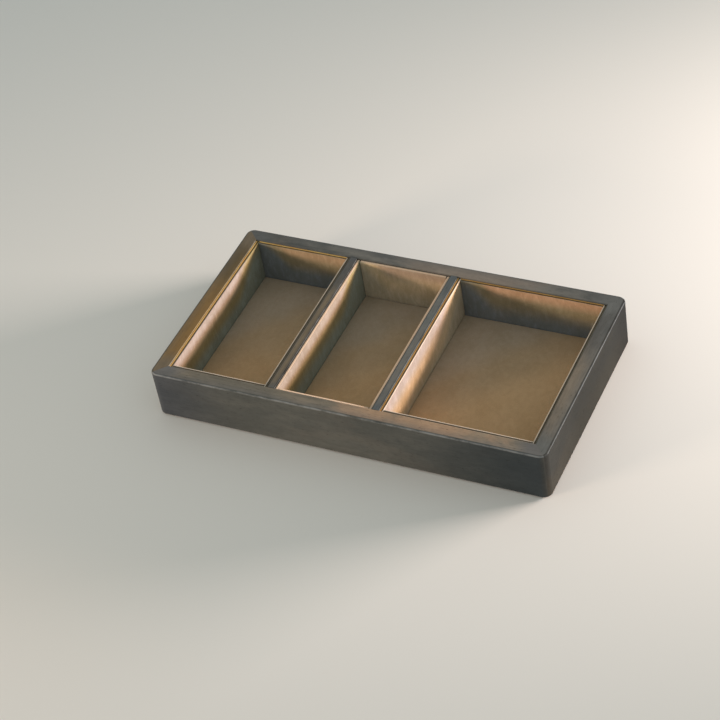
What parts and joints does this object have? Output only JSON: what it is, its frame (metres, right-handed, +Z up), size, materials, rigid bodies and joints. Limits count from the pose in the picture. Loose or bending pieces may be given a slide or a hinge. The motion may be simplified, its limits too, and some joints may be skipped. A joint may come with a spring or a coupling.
{
  "type": "valet tray",
  "caption": "Shallow rectangular wooden tray in dark stain, split by thin dividers into felt-lined bays for a watch, rings, keys and a wallet.",
  "frame": {"origin": "centre of the tray's footprint, on the surface that it stands on", "axes": "+X along the width to the right, with the widest bay at +X; +Y to the back; +Z up"},
  "size_m": [0.3, 0.165, 0.04],
  "materials": {
    "stained_wood": "dark walnut stain, mottled, satin lacquer",
    "panel_board": "raw fibreboard",
    "liner_board": "golden-tan grey board with cut edges",
    "liner_felt": "brown suede-like felt with a short nap",
    "base_felt": "dark brown felt"
  },
  "bodies": {
    "root": {"front_wall": "stained_wood", "back_wall": "stained_wood", "left_wall": "stained_wood", "right_wall": "stained_wood", "left_divider": "stained_wood", "right_divider": "stained_wood", "base_panel": "panel_board", "base_felt": "base_felt", "left_bay_left_board": "liner_board", "left_bay_left_felt": "liner_felt", "left_bay_right_board": "liner_board", "left_bay_right_felt": "liner_felt", "left_bay_front_board": "liner_board", "left_bay_front_felt": "liner_felt", "left_bay_back_board": "liner_board", "left_bay_back_felt": "liner_felt", "left_bay_floor_board": "liner_board", "left_bay_floor_felt": "liner_felt", "middle_bay_left_board": "liner_board", "middle_bay_left_felt": "liner_felt", "middle_bay_right_board": "liner_board", "middle_bay_right_felt": "liner_felt", "middle_bay_front_board": "liner_board", "middle_bay_front_felt": "liner_felt", "middle_bay_back_board": "liner_board", "middle_bay_back_felt": "liner_felt", "middle_bay_floor_board": "liner_board", "middle_bay_floor_felt": "liner_felt", "right_bay_left_board": "liner_board", "right_bay_left_felt": "liner_felt", "right_bay_right_board": "liner_board", "right_bay_right_felt": "liner_felt", "right_bay_front_board": "liner_board", "right_bay_front_felt": "liner_felt", "right_bay_back_board": "liner_board", "right_bay_back_felt": "liner_felt", "right_bay_floor_board": "liner_board", "right_bay_floor_felt": "liner_felt"}
  },
  "joints": []
}
